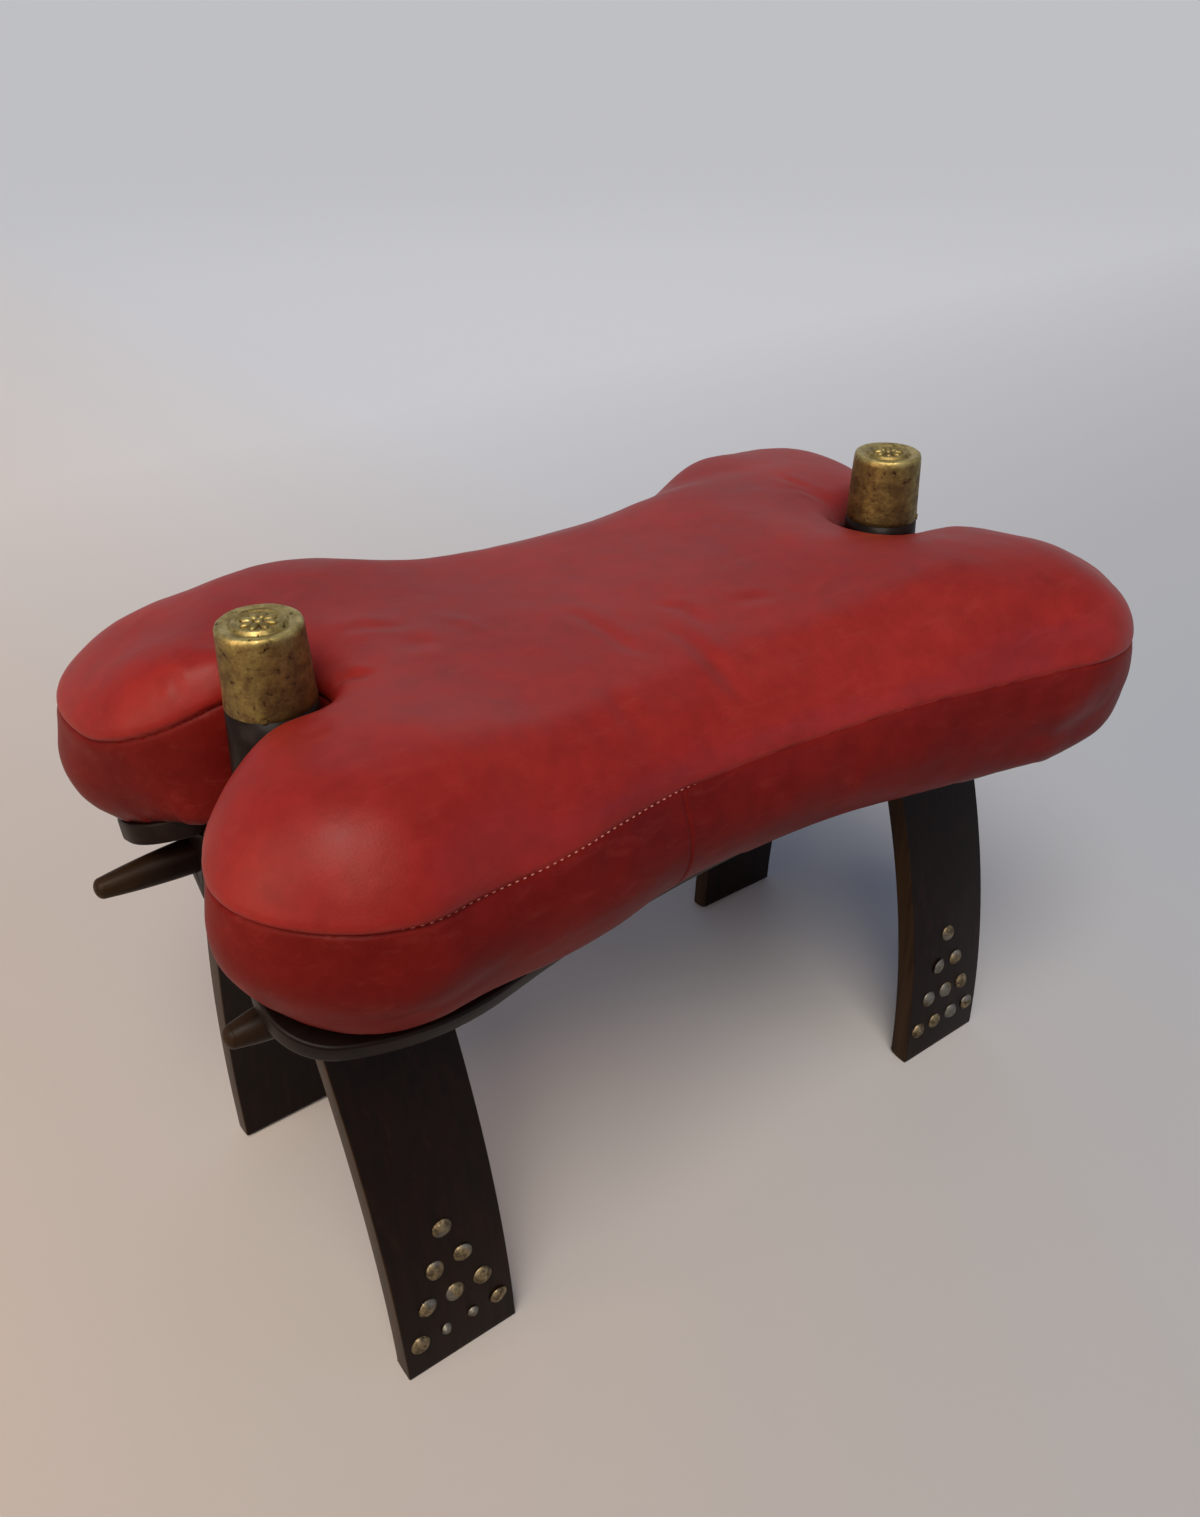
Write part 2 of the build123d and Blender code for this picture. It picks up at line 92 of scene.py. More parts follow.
def camera_axes():
    """The camera's right, up and forward directions."""
    flat = math.cos(camera_pitch)
    forward = Vector((math.sin(camera_yaw) * flat, math.cos(camera_yaw) * flat, -math.sin(camera_pitch)))
    level = Vector((math.cos(camera_yaw), -math.sin(camera_yaw), 0))
    upright = level.cross(forward)
    right = level * math.cos(camera_roll) + upright * math.sin(camera_roll)
    up = upright * math.cos(camera_roll) - level * math.sin(camera_roll)
    return right, up, forward


right, up, forward = camera_axes()
bpy.ops.object.camera_add()
camera = bpy.context.object
camera.matrix_world = Matrix.Translation(camera_place) @ Matrix((right, up, -forward)).transposed().to_4x4()
camera.data.sensor_width = film_width
camera.data.lens = film_width * focal_pixels / picture_long_side
bpy.context.scene.camera = camera
print("lens", round(camera.data.lens, 2), "mm")

# %% [markdown]
# ## Colours and nodes
#
# Colours are written as hex values, as a paint program shows them, and Blender's shaders want linear light,
# so one function turns the first into the second. Another adds one shader node of any kind, with its settings
# and links, which keeps each material down to the few lines that make it what it is.


# %% Colour and node helpers
def linear(code):
    """Linear light of an sRGB hex colour, fully opaque."""
    levels = [int(code[i : i + 2], 16) / 255 for i in (1, 3, 5)]
    return [c / 12.92 if c <= 0.04045 else ((c + 0.055) / 1.055) ** 2.4 for c in levels] + [1.0]


def fill(made, **inputs):
    """Gives a node's sockets, by their name or by i and their number, a value or a link from another socket."""
    for name, value in inputs.items():
        numbered = name[0] == "i" and name[1:].isdigit()
        socket = made.inputs[int(name[1:]) if numbered else name.replace("_", " ")]
        if isinstance(value, bpy.types.NodeSocket):
            made.id_data.links.new(value, socket)
        else:
            socket.default_value = value


def node(tree, kind, settings=None, stops=(), **inputs):
    """Adds a shader node. Settings are its own properties, and stops places and hex colours along a ramp."""
    made = tree.nodes.new("ShaderNode" + kind)
    for name, value in (settings or {}).items():
        setattr(made, name, value)
    elements = made.color_ramp.elements if stops else ()
    while len(elements) < len(stops):
        elements.new(0.5)
    for element, (place, code) in zip(elements, stops):
        element.position = place
        element.color = linear(code)
    fill(made, **inputs)
    return made


def material(name):
    """A new material with its tree, its main shader and the object's own coordinates."""
    made = bpy.data.materials.new(name)
    made.use_nodes = True
    tree = made.node_tree
    shader = tree.nodes["Principled BSDF"]
    place = node(tree, "TexCoord").outputs["Object"]
    return made, tree, shader, place


ramp = "ValToRGB"
colour_mix = {"data_type": "RGBA"}
colour_multiply = {"data_type": "RGBA", "blend_type": "MULTIPLY"}
multiply_add = {"operation": "MULTIPLY_ADD"}

# %% [markdown]
# ## Floor and light
#
# The floor is a plain pale sheet that reaches to the horizon. Its colour holds painted light: darker at the
# front and paler towards the back, warm on the left where the warm wall lights it and cool on the right by the
# cool window. Beyond it the camera, the metal and the varnish see a plain pale backdrop, which puts no light on
# the stool. The room is lit from its ceiling and a window behind the camera, with a pale wall behind the stool, a
# warm one on the left and a small cool window on the right. A sun lamp with a wide angle stands for the
# ceiling, because it lights the whole floor evenly, and area lamps stand for the walls and the windows.

# %% Floor
floor_size = 400.0
bpy.ops.mesh.primitive_plane_add(size=floor_size)
floor = bpy.context.object
floor.name = "floor"
floor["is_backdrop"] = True
pale_floor, tree, shader, place = material("pale_floor")
near_y, far_y = -0.5, 1.6
left_x, right_x = -0.6, 0.7
apart = node(tree, "SeparateXYZ", Vector=place)
depth = node(tree, "MapRange", Value=apart.outputs["Y"], From_Min=near_y, From_Max=far_y).outputs[0]
across = node(tree, "MapRange", Value=apart.outputs["X"], From_Min=left_x, From_Max=right_x).outputs[0]
# Painted light: the floor goes paler towards the back, and from warm on the left to cool on the right, as the room's
# lamps light it
paler = node(tree, ramp, stops=((0.0, "#bdc0c2"), (0.45, "#cac8c7"), (1.0, "#e9e7e6")), Fac=depth).outputs[0]
cooler = node(tree, ramp, stops=((0.0, "#fdefe0"), (1.0, "#f6fbff")), Fac=across).outputs[0]
sheet = node(tree, "Mix", colour_multiply, i0=1.0, i6=paler, i7=cooler)
fill(shader, Base_Color=sheet.outputs[2], Roughness=0.9, Specular_IOR_Level=0.2)
floor.data.materials.append(pale_floor)
print("floor", floor_size, "m wide")

# %% World and lamps
world = bpy.data.worlds.new("studio")
bpy.context.scene.world = world
world.use_nodes = True
tree = world.node_tree
tree.nodes.clear()
room = node(tree, "Background", Color=linear("#aac8f2"), Strength=0.24)
backdrop = node(tree, "Background", Color=linear("#b2b4b9"), Strength=1.0)
path = node(tree, "LightPath")
seen = path.outputs["Is Camera Ray"]
for ray in ("Is Glossy Ray", "Is Transmission Ray"):
    seen = node(tree, "Math", {"operation": "MAXIMUM"}, i0=seen, i1=path.outputs[ray]).outputs[0]
shown = node(tree, "MixShader", Fac=seen, i1=room.outputs[0], i2=backdrop.outputs[0])
node(tree, "OutputWorld", Surface=shown.outputs[0])

seat_middle = Vector((0, 0, 0.35))


def lamp(name, kind, place, colour, power, **sizes):
    """A lamp of one kind at a place, facing the seat."""
    bpy.ops.object.light_add(type=kind, location=place)
    made = bpy.context.object
    made.name = name
    made.data.energy = power
    made.data.color = linear(colour)[:3]
    made.rotation_euler = (seat_middle - Vector(place)).to_track_quat("-Z", "Y").to_euler()
    for setting, value in sizes.items():
        setattr(made.data, setting, value)
    print("lamp", name, kind, power)


lamp("ceiling", "SUN", (-0.7, -0.72, 2.0), "#fff4e8", 2.2, angle=math.radians(34))
lamp("near_window", "AREA", (-0.88, -1.15, 1.12), "#ffe4c6", 3.2, size=0.45)
lamp("back_wall", "AREA", (1.5, 2.3, 2.5), "#f4f2ff", 6, size=2.4)
lamp("warm_wall", "AREA", (-1.3, -0.1, 0.75), "#ffdabc", 5.5, size=0.8)
lamp("cool_window", "AREA", (0.82, -1.22, 0.67), "#c8b8ff", 0.8, size=0.3)

bpy.context.scene.view_settings.view_transform = "Standard"

# %% [markdown]
# ## Modelling helpers
#
# Blender's edit mode works on what is selected, and much is selected after loading, so a small helper clears
# the selection, opens one object for editing and closes it again. Another selects by a test on the place or
# the angle of a vertex, an edge or a face, which takes the place of a click with the mouse.


# %% Selecting and editing
merge_reach = 0.01 * mm


def activate(piece):
    """Makes one object the only selected and the active one."""
    bpy.ops.object.select_all(action="DESELECT")
    piece.select_set(True)
    bpy.context.view_layer.objects.active = piece


@contextmanager
def editing(piece):
    """Edit mode on one object, with nothing selected."""
    activate(piece)
    bpy.ops.object.mode_set(mode="EDIT")
    bpy.ops.mesh.select_all(action="DESELECT")
    yield
    bpy.ops.object.mode_set(mode="OBJECT")


def pick(piece, kind, test):
    """In edit mode, selects the vertices, edges or faces that pass a test."""
    bpy.ops.mesh.select_mode(type=kind)
    bpy.ops.mesh.select_all(action="DESELECT")
    mesh = bmesh.from_edit_mesh(piece.data)
    items = {"VERT": mesh.verts, "EDGE": mesh.edges, "FACE": mesh.faces}[kind]
    for item in [each for each in items if test(each)]:
        item.select_set(True)
    mesh.select_flush_mode()
    bmesh.update_edit_mesh(piece.data)


def face_outwards():
    """In edit mode, turns all faces outwards."""
    bpy.ops.mesh.select_all(action="SELECT")
    bpy.ops.mesh.normals_make_consistent(inside=False)


def new_piece(name, mesh):
    """A new object in the scene, with a mesh of its own."""
    piece = bpy.data.objects.new(name, mesh)
    bpy.context.scene.collection.objects.link(piece)
    return piece


def cad_copy(name, cad_node):
    """A new piece from a merged copy of a CAD node."""
    piece = new_piece(name, bpy.data.meshes.new(name))
    copied = bmesh.new()
    copied.from_mesh(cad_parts[cad_node].data)
    copied.to_mesh(piece.data)
    copied.free()
    with editing(piece):
        bpy.ops.mesh.select_all(action="SELECT")
        bpy.ops.mesh.remove_doubles(threshold=merge_reach)
    return piece


def finish_with(piece, finish):
    """Gives a piece one material, in place of what it has."""
    piece.data.materials.clear()
    piece.data.materials.append(finish)


def dress(piece, finish, body, replaces=()):
    """Gives a piece its material, its body and the nodes that it stands for."""
    finish_with(piece, finish)
    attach(piece, body)
    if replaces:
        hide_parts(*replaces)
    print(piece.name, len(piece.data.polygons), "faces")


def smooth_by_angle(piece, degrees):
    """Smooth shading, except across edges that are sharper than an angle."""
    activate(piece)
    bpy.ops.object.shade_smooth_by_angle(angle=math.radians(degrees))


# %% [markdown]
# ## Stained wood
#
# The frame is a close grained hardwood, stained nearly black and varnished. The eye gets three things from
# that: a very dark warm brown, faint streaks of grain along each piece, and a gloss that is broken a little
# by the pores. The grain is one noise, stretched along the piece: 5 mm across and about 90 mm along. A noise's
# scale is its number of cells in a metre, so 200 is 5 mm. The pores are 0.8 mm and the worn patches 70 mm.


# %% Stained wood
tip_fade = 45 * mm
along_share = 0.055


def stained_wood(name, along, tip_x=None):
    """Dark varnished hardwood with its grain along one axis, paler towards worn tips, or with a painted sheen on
    marked faces.
    """
    made, tree, shader, place = material(name)
    stretch = [1.0, 1.0, 1.0]
    stretch["XYZ".index(along)] = along_share
    run = node(tree, "Mapping", Vector=place, Scale=stretch).outputs[0]
    grain = node(tree, "TexNoise", Vector=run, Scale=200, Detail=6, Roughness=0.6, Distortion=0.4).outputs["Fac"]
    pores = node(tree, "TexNoise", Vector=run, Scale=1300, Detail=2).outputs["Fac"]
    patches = node(tree, "TexNoise", Vector=place, Scale=14, Detail=3).outputs["Fac"]
    dark, stained, light = (0.32, "#0e0604"), (0.55, "#170b07"), (0.78, "#22120b")
    streaks = node(tree, ramp, stops=(dark, stained, light), Fac=grain).outputs[0]
    worn = node(tree, ramp, stops=((0.35, "#ffffff"), (0.7, "#c9b7a8")), Fac=patches).outputs[0]
    stain = node(tree, "Mix", colour_multiply, i0=1.0, i6=streaks, i7=worn)
    if tip_x:
        x = node(tree, "SeparateXYZ", Vector=place).outputs["X"]
        off = node(tree, "Math", {"operation": "ABSOLUTE"}, i0=x).outputs[0]
        wear_and_sheen = node(tree, "MapRange", Value=off, From_Min=tip_x - tip_fade, From_Max=tip_x).outputs[0]
    else:
        wear_and_sheen = node(tree, "Attribute", {"attribute_name": "wear_and_sheen"}).outputs["Fac"]
    kept = node(tree, "MapRange", Value=grain, From_Min=0.3, From_Max=0.6, To_Min=0.3)
    amount = node(tree, "Math", {"operation": "MULTIPLY"}, i0=wear_and_sheen, i1=kept.outputs[0]).outputs[0]
    # The paler brown is worn stain towards the peg tips, and on the planks' narrow faces a painted sheen of the
    # light
    shown = node(tree, "Mix", colour_mix, i0=amount, i6=stain.outputs[2], i7=linear("#33220f"))
    rough = node(tree, "MapRange", Value=patches, To_Min=0.34, To_Max=0.5)
    relief = node(tree, "Math", multiply_add, i0=pores, i1=0.35, i2=grain)
    bump = node(tree, "Bump", Strength=0.25, Distance=0.3 * mm, Height=relief.outputs[0])
    fill(shader, Base_Color=shown.outputs[2], Roughness=rough.outputs[0], Normal=bump.outputs[0])
    fill(shader, IOR=1.5, Specular_IOR_Level=0.1, Coat_Weight=0.04, Coat_Roughness=0.2)
    return made


wood_upright = stained_wood("stained_wood_upright", "Z")
wood_lengthwise = stained_wood("stained_wood_lengthwise", "X")
wood_pegs = stained_wood("stained_wood_pegs", "X", tip_x=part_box("right_front_peg")[1].x)

# %% [markdown]
# ## Legs, boards and blocks
#
# A sawn plank never has a knife edge: it is sanded before it is stained. Boards and blocks are copies of the
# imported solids, whose flat triangles are dissolved so that the bevel operator can round their long edges.


# %% Sanded copies of the boards and blocks
flat_angle = math.radians(0.5)
sharp_angle = math.radians(30)
longest_hole_edge = 3.5 * mm
sanding_steps, sanding_profile = 3, 0.6
wood_shading_angle = 35
board_round, post_block_round, shoulder_round = 2.0 * mm, 1.2 * mm, 1.0 * mm


def long_and_sharp(edge):
    """Whether an edge is a sharp one and no part of a screw hole's rim."""
    return edge.is_manifold and edge.calc_face_angle() > sharp_angle and edge.calc_length() > longest_hole_edge


def sanded(name, cad_node, radius):
    """A copy of a lengthwise wooden node with its long edges rounded."""
    piece = cad_copy(name, cad_node)
    with editing(piece):
        bpy.ops.mesh.select_all(action="SELECT")
        bpy.ops.mesh.dissolve_limited(angle_limit=flat_angle)
        pick(piece, "EDGE", long_and_sharp)
        bpy.ops.mesh.bevel(offset=radius, segments=sanding_steps, profile=sanding_profile, clamp_overlap=True)
    smooth_by_angle(piece, wood_shading_angle)
    dress(piece, wood_lengthwise, "frame", [cad_node])


for side in sides:
    sanded(f"{side}_board_sanded", f"{side}_board", board_round)
for end in ends:
    sanded(f"{end}_post_block_sanded", f"{end}_post_block", post_block_round)
    for side in sides:
        sanded(f"{end}_{side}_shoulder_sanded", f"{end}_{side}_shoulder_block", shoulder_round)

# %% [markdown]
# Each leg is one curved plank, so it is made as a cabinet maker would draw it: a rectangle, its section, is
# swept round the centre of the leg's arc by the spin operator. Two cuts then level it at the floor and under
# the post block, and its inner toe is rounded before all its edges are sanded. The toe is longer than it is
# deep, so the plank is squashed for its bevel and stretched back.

# %% Curved leg planks
leg_width = 76 * mm
leg_thickness = 15 * mm
leg_face_radius = 676 * mm
leg_arc_drop = 9.5 * mm
foot_half_spread = 125 * mm
foot_middle_x = 216.7 * mm
frame_lean = math.radians(1.1)
foot_round, toe_steps = 11.5 * mm, 8
toe_stretch = 2.1
leg_edge_round = 1.3 * mm
leg_sharp_angle = math.radians(40)
at_toe = 0.1 * mm
# How far a face turns to the side before its painted sheen starts, and over how much it grows
sheen_from, sheen_over = 0.3, 0.5
leg_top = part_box("left_front_leg")[1].z
arc_y = foot_half_spread - math.sqrt(leg_face_radius**2 - leg_arc_drop**2)
sweep = math.asin((leg_top + 2 * leg_arc_drop) / (leg_face_radius - leg_thickness))
sweep_steps = 26


def right_back_leg():
    """The plank at the right hand back corner."""
    bpy.ops.mesh.primitive_plane_add(size=1)
    piece = bpy.context.object
    piece.scale = (leg_width, leg_thickness, 1)
    piece.location = (0, arc_y + leg_face_radius - leg_thickness / 2, -leg_arc_drop)
    bpy.ops.object.transform_apply(location=True, scale=True)
    with editing(piece):
        bpy.ops.mesh.select_all(action="SELECT")
        middle = (0, arc_y, -leg_arc_drop)
        bpy.ops.mesh.spin(steps=sweep_steps, angle=sweep, center=middle, axis=(-1, 0, 0), use_auto_merge=False)
    piece.data.transform(Matrix.Translation((foot_middle_x, 0, 0)) @ Matrix.Rotation(frame_lean, 4, "Y"))
    with editing(piece):
        face_outwards()
        for height, cleared in ((0, "clear_inner"), (leg_top, "clear_outer")):
            bpy.ops.mesh.select_all(action="SELECT")
            bpy.ops.mesh.bisect(plane_co=(0, 0, height), plane_no=(0, 0, 1), use_fill=True, **{cleared: True})
        inner_y = min(v.co.y for v in bmesh.from_edit_mesh(piece.data).verts if v.co.z < leg_edge_round)
    piece.data.transform(Matrix.Diagonal((1, 1, 1 / toe_stretch, 1)))
    with editing(piece):
        pick(piece, "EDGE", lambda e: all(v.co.z < at_toe and v.co.y < inner_y + at_toe for v in e.verts))
        bpy.ops.mesh.bevel(offset=foot_round, segments=toe_steps)
    piece.data.transform(Matrix.Diagonal((1, 1, toe_stretch, 1)))
    with editing(piece):
        pick(piece, "EDGE", lambda e: e.is_manifold and e.calc_face_angle() > leg_sharp_angle)
        bpy.ops.mesh.bevel(offset=leg_edge_round, segments=sanding_steps, profile=sanding_profile)
        face_outwards()
    return piece


def corner_copy(piece, name, end, side):
    """A right hand back piece, mirrored to a corner of the frame, with a mesh of its own."""
    mesh = piece.data.copy()
    turn = Matrix.Diagonal((ends[end], sides[side], 1, 1))
    mesh.transform(turn)
    if turn.determinant() < 0:
        mesh.flip_normals()
    return new_piece(name, mesh)


def mark_painted_sheen(piece):
    """Marks the narrow faces of a plank for a painted sheen, the paler look that the light gives them."""
    wear_and_sheen = piece.data.attributes.new("wear_and_sheen", "FLOAT", "FACE")
    for mark, face in zip(wear_and_sheen.data, piece.data.polygons):
        mark.value = min(1.0, max(0.0, (abs(face.normal.x) - sheen_from) / sheen_over))


leg_pattern = right_back_leg()
for end, side in corners:
    plank = corner_copy(leg_pattern, f"{end}_{side}_leg_plank", end, side)
    mark_painted_sheen(plank)
    smooth_by_angle(plank, wood_shading_angle)
    dress(plank, wood_upright, "frame", [f"{end}_{side}_leg"])
bpy.data.objects.remove(leg_pattern)

# %% [markdown]
# The pegs are turned on a lathe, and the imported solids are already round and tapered. They only need their
# stain, which hands have rubbed paler towards the tips.

# %% Turned pegs
for end, side in corners:
    finish_with(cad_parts[f"{end}_{side}_peg"], wood_pegs)
    print(end, side, "peg stained")

# %% [markdown]
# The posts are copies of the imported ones. A cap never goes quite down to the shoulder it is pressed on, so the
# shoulder's ring of vertices goes up a little, to meet the shorter caps that follow.

# %% Posts
cap_lift = 4 * mm
ring_reach = 0.3 * mm
for end in ends:
    post = cad_copy(f"{end}_post_turned", f"{end}_post")
    shoulder_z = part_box(f"{end}_cap")[0].z
    for vertex in post.data.vertices:
        if abs(vertex.co.z - shoulder_z) < ring_reach:
            vertex.co.z += cap_lift
    smooth_by_angle(post, wood_shading_angle)
    dress(post, wood_upright, "frame", [f"{end}_post"])

# %% [markdown]
# ## Old brass
#
# The caps are pressed from sheet brass and have gone brown with handling. Polished brass shows only where
# hands rub it, on the rim, and the rest is a mottled brown film with darker specks. So the colour goes from
# film to metal by a noise of 8 mm clouds, with 4 mm specks, and the film is rougher than the metal. On the
# small tacks both are half that size, and in places the brass has worn off down to the grey steel.


# %% Old brass
film_roughness = 0.56
rubbed_share = 0.22


def old_brass(name, metal, film, speck, polish, shine, steel_tone=None, fine=1.0):
    """Brass under a patchy brown film, polished where it is rubbed, and in places perhaps worn to its steel."""
    made, tree, shader, place = material(name)
    clouds = node(tree, "TexNoise", Vector=place, Scale=130 * fine, Detail=6, Roughness=0.65).outputs["Fac"]
    specks = node(tree, "TexNoise", Vector=place, Scale=260 * fine, Detail=3, Roughness=0.6).outputs["Fac"]
    rubbed = node(tree, "Attribute", {"attribute_name": "rubbed"}).outputs["Fac"]
    worn = node(tree, "Math", multiply_add, i0=rubbed, i1=rubbed_share, i2=clouds).outputs[0]
    tone = node(tree, ramp, stops=((0.42, film), (0.6, metal), (0.82, polish)), Fac=worn).outputs[0]
    if steel_tone:
        areas = node(tree, "TexNoise", Vector=place, Scale=48, Detail=0).outputs["Fac"]
        greyed = node(tree, ramp, stops=((0.48, "#000000"), (0.56, "#e0e0e0")), Fac=areas).outputs[0]
        tone = node(tree, "Mix", colour_mix, i0=greyed, i6=tone, i7=linear(steel_tone)).outputs[2]
    clean = node(tree, ramp, stops=((0.29, "#000000"), (0.36, "#ffffff")), Fac=specks).outputs[0]
    colour = node(tree, "Mix", colour_mix, i0=clean, i6=linear(speck), i7=tone)
    rough = node(tree, "MapRange", Value=worn, From_Min=0.4, From_Max=0.8)
    fill(rough, To_Min=film_roughness, To_Max=film_roughness - shine)
    relief = node(tree, "Math", {"operation": "ADD"}, i0=clouds, i1=specks)
    bump = node(tree, "Bump", Strength=0.5, Distance=0.5 * mm, Height=relief.outputs[0])
    fill(shader, Base_Color=colour.outputs[2], Roughness=rough.outputs[0], Normal=bump.outputs[0], Metallic=1.0)
    return made


cap_brass = old_brass("aged_cap_brass", "#8b7a49", "#6a5637", "#2c2016", "#b5a368", 0.15)
tack_brass = old_brass("aged_tack_brass", "#8f8062", "#564b3a", "#241c16", "#a99b7c", 0.3, "#74746f", 2.0)

# %% [markdown]
# The screws and washers are plated steel, a cool grey that has dulled in patches of 2.5 mm. They and the caps'
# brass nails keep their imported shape.

# %% Screws, washers and nails
steel, tree, shader, place = material("zinc_plated_steel")
dulled = node(tree, "TexNoise", Vector=place, Scale=400, Detail=3).outputs["Fac"]
zinc = node(tree, ramp, stops=((0.3, "#5c5b58"), (0.7, "#8f8e8a")), Fac=dulled)
worn = node(tree, "MapRange", Value=dulled, To_Min=0.3, To_Max=0.6)
fill(shader, Base_Color=zinc.outputs[0], Roughness=worn.outputs[0], Metallic=1.0)
metals = {"screws": steel, "screw": steel, "washer": steel, "nail": cap_brass}
for name, cad_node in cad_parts.items():
    metal = metals.get(name.split("_")[-1])
    if metal:
        finish_with(cad_node, metal)
        print(name, "in", metal.name)

# %% [markdown]
# Upholstery tacks are driven with a hammer, so their domes are never perfect. Each keeps its imported place and
# leans a little its own way, and a smooth noise pushes its surface by up to a third of a millimetre. Two tacks
# in the lowest row of the near left foot are worn down to stubs.


# %% Hammered tacks
def dented(piece, depth, size):
    """Moves the surface along its normals by a smooth noise, as small dents do."""
    mesh = piece.data
    normals = [v.normal.copy() for v in mesh.vertices]
    for vertex, normal in zip(mesh.vertices, normals):
        vertex.co += normal * depth * noise.noise(vertex.co / size)
    mesh.update()


def tilted(piece, degrees, worn_places=()):
    """Leans each separate body of a piece its own way, and wears down those that are at given places."""
    mesh = bmesh.new()
    mesh.from_mesh(piece.data)
    free = set(mesh.verts)
    while free:
        body, reached = [], [free.pop()]
        while reached:
            vertex = reached.pop()
            body.append(vertex)
            near = {edge.other_vert(vertex) for edge in vertex.link_edges} & free
            free -= near
            reached += near
        middle = sum((vertex.co for vertex in body), Vector()) / len(body)
        lean = Euler(noise.noise_vector(middle / tilt_size) * math.radians(degrees))
        bmesh.ops.rotate(mesh, cent=middle, matrix=lean.to_matrix(), verts=body)
        if any(math.hypot(middle.x - x, middle.z - z) < worn_reach for x, z in worn_places):
            bmesh.ops.scale(mesh, vec=(worn_share, 1, worn_share), space=Matrix.Translation(-middle), verts=body)
    mesh.to_mesh(piece.data)
    mesh.free()


tilt_size = 8 * mm
tack_tilt = 22
# Two tacks in the lowest row at the near foot, by their place along and up
worn_tacks = {("left", "front"): [(-226.4 * mm, 26.9 * mm), (-208.0 * mm, 27.2 * mm)]}
worn_reach, worn_share = 3 * mm, 0.6
tack_dent, tack_dent_size = 0.35 * mm, 4.5 * mm
tack_shading_angle = 40
# Blender seeds its vector noise by the clock, so a seed of its own makes each run lean the tacks alike
lean_seed = 1
noise.seed_set(lean_seed)
for end, side in corners:
    tacks = cad_copy(f"{end}_{side}_tack_heads", f"{end}_{side}_tacks")
    tilted(tacks, tack_tilt, worn_tacks.get((end, side), ()))
    dented(tacks, tack_dent, tack_dent_size)
    smooth_by_angle(tacks, tack_shading_angle)
    dress(tacks, tack_brass, "frame", [f"{end}_{side}_tacks"])

# %% [markdown]
# ## Post caps
#
# A cap is a cup pressed from sheet: a wall that tapers upwards, a rounded edge, a groove, and a boss with a
# raised rosette. It is turned like a pot, by extruding a ring of vertices and scaling it for each step of the
# profile, and the rosette's petals are flattened spheres set round a bead.

# %% Turned caps with a rosette
cap_segments = 72
cap_low, cap_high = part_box("right_cap")
post_x = (cap_low.x + cap_high.x) / 2
cap_foot_z = cap_low.z
# Each ring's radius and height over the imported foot, in millimetres, up the wall and over the edge to the boss
cap_rings = [
    (22.6, 4.1), (23.6, 3.95), (23.9, 4.4), (23.75, 7.0), (23.5, 12.0), (23.2, 21.0), (22.9, 30.0), (22.55, 39.0),
    (22.3, 44.5), (22.1, 46.7), (21.6, 48.1), (20.7, 48.8), (19.4, 48.9), (17.4, 48.4), (15.8, 47.8), (15.0, 47.8),
    (14.4, 48.5), (13.8, 49.5), (13.1, 50.0), (12.2, 50.0), (11.4, 49.4), (10.6, 48.8), (9.6, 48.6), (3.0, 48.8),
]


def turned_cap():
    """The right hand cap, from its lower rim to the middle of its top."""
    radius, height = cap_rings[0]
    start = (post_x, 0, cap_foot_z + height * mm)
    bpy.ops.mesh.primitive_circle_add(vertices=cap_segments, radius=radius * mm, location=start)
    piece = bpy.context.object
    bpy.ops.object.transform_apply(location=True)
    middle = (post_x, 0, 0)
    with editing(piece):
        bpy.ops.mesh.select_all(action="SELECT")
        for next_radius, next_height in cap_rings[1:]:
            bpy.ops.mesh.extrude_region_move(TRANSFORM_OT_translate={"value": (0, 0, (next_height - height) * mm)})
            ratio = next_radius / radius
            bpy.ops.transform.resize(value=(ratio, ratio, 1), center_override=middle)
            radius, height = next_radius, next_height
        bpy.ops.mesh.edge_face_add()
        bpy.ops.mesh.poke()
        face_outwards()
    return piece


petal_count = 8
petal_reach = 6.2 * mm
petal_size = (3.7 * mm, 2.2 * mm, 1.8 * mm)
bead_size = (2.5 * mm, 2.5 * mm, 1.875 * mm)
boss_z = cap_foot_z + 48.6 * mm


def rosette():
    """Petals round a bead, as one piece on the right hand boss."""
    parts = []
    for i in range(petal_count + 1):
        bpy.ops.mesh.primitive_uv_sphere_add(segments=16, ring_count=8, radius=1)
        part = bpy.context.object
        if i < petal_count:
            angle = i * 2 * math.pi / petal_count
            part.scale = petal_size
            part.location = (post_x + petal_reach * math.cos(angle), petal_reach * math.sin(angle), boss_z)
            part.rotation_euler = (0, 0, angle)
        else:
            part.scale = bead_size
            part.location = (post_x, 0, boss_z)
        bpy.ops.object.transform_apply(location=True, rotation=True, scale=True)
        parts.append(part)
    bpy.ops.object.select_all(action="DESELECT")
    for part in parts:
        part.select_set(True)
    bpy.context.view_layer.objects.active = parts[-1]
    bpy.ops.object.join()
    return bpy.context.object


cap_pattern = turned_cap()
rosette_pattern = rosette()
activate(cap_pattern)
rosette_pattern.select_set(True)
bpy.ops.object.join()
cap_dent, cap_dent_size = 0.3 * mm, 13 * mm
cap_shading_angle = 50
rubbed_from, rubbed_over = 43 * mm, 5 * mm
rubbed_radius = 15.5 * mm
boss_polish = 0.6


def mark_rubbed(cap, foot_z, middle_x):
    """Writes on a cap how much hands have polished each point, which is most on its rim."""
    polish = cap.data.attributes.new("rubbed", "FLOAT", "POINT")
    for mark, vertex in zip(polish.data, cap.data.vertices):
        high = (vertex.co.z - foot_z - rubbed_from) / rubbed_over
        wide = math.hypot(vertex.co.x - middle_x, vertex.co.y) > rubbed_radius
        mark.value = min(1, max(0, high)) * (1.0 if wide else boss_polish)


